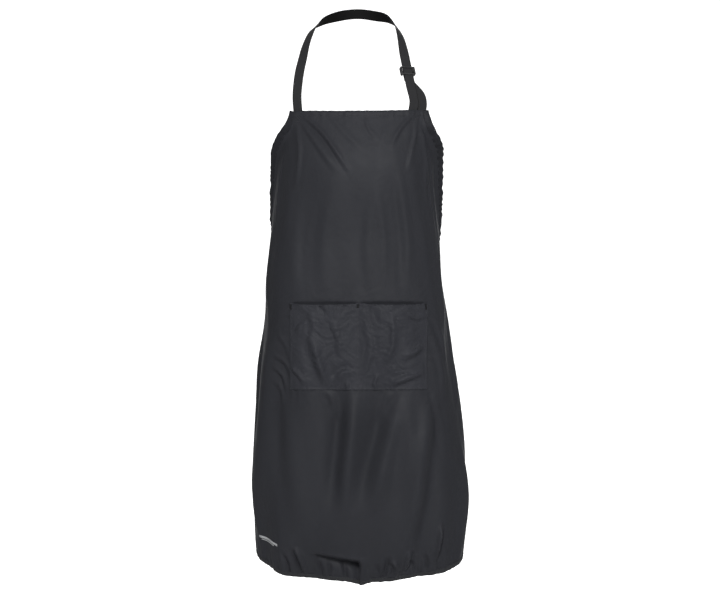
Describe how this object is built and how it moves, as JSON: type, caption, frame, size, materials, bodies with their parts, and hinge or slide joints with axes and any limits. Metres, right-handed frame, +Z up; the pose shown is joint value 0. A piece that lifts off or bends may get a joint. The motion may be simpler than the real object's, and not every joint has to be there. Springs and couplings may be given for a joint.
{
  "type": "artist smock apron",
  "caption": "Sleeveless bib apron in dark nylon, wrapped as worn, with a sliding-buckle neck strap, gathered armhole casings, a divided front pocket and tied waist webbing.",
  "frame": {"origin": "middle of the wearer's nape, on the inside face of the neck webbing, half way up its width", "axes": "+Z up, the front of the apron faces -Y, +X to the right as the front is looked at"},
  "size_m": [0.421, 0.2641, 1.1285],
  "materials": {
    "body_cloth": "fine woven nylon with a soft sheen",
    "casing_cloth": "the same nylon, gathered and darker in its folds",
    "binding_tape": "narrow woven tape",
    "webbing": "ribbed polyester webbing",
    "elastic": "braided elastic",
    "thread": "spun polyester thread",
    "slider_plastic": "moulded acetal, fine spark texture",
    "print_ink": "thin pale screen print"
  },
  "bodies": {
    "apron": {"main_panel": "body_cloth", "top_hem": "body_cloth", "top_hem_stitching": "thread", "armhole_casing_left": "casing_cloth", "armhole_casing_right": "casing_cloth", "armhole_elastic_left": "elastic", "armhole_elastic_right": "elastic", "casing_stitching": "thread", "skirt_binding": "binding_tape", "binding_stitching": "thread", "pocket_panel": "body_cloth", "pocket_hem": "body_cloth", "pocket_stitching": "thread", "bar_tacks": "thread", "neck_strap": "webbing", "strap_return": "webbing", "webbing_keeper": "body_cloth", "strap_stitching_left": "thread", "strap_stitching_right": "thread", "waist_tie_left": "webbing", "waist_tie_right": "webbing", "tie_stitching_left": "thread", "tie_stitching_right": "thread", "waist_bow": "webbing", "print_mark": "print_ink"},
    "slider": {"slider_frame": "slider_plastic", "strap_end_loop": "webbing", "end_loop_stitching": "thread"}
  },
  "joints": [
    {"name": "slider_slide", "type": "slide", "parent": "apron", "child": "slider", "axis": [-0.1603, 0.4104, 0.8977], "range_m": [-0.01, 0.018], "deforming": ["strap_return"]}
  ]
}
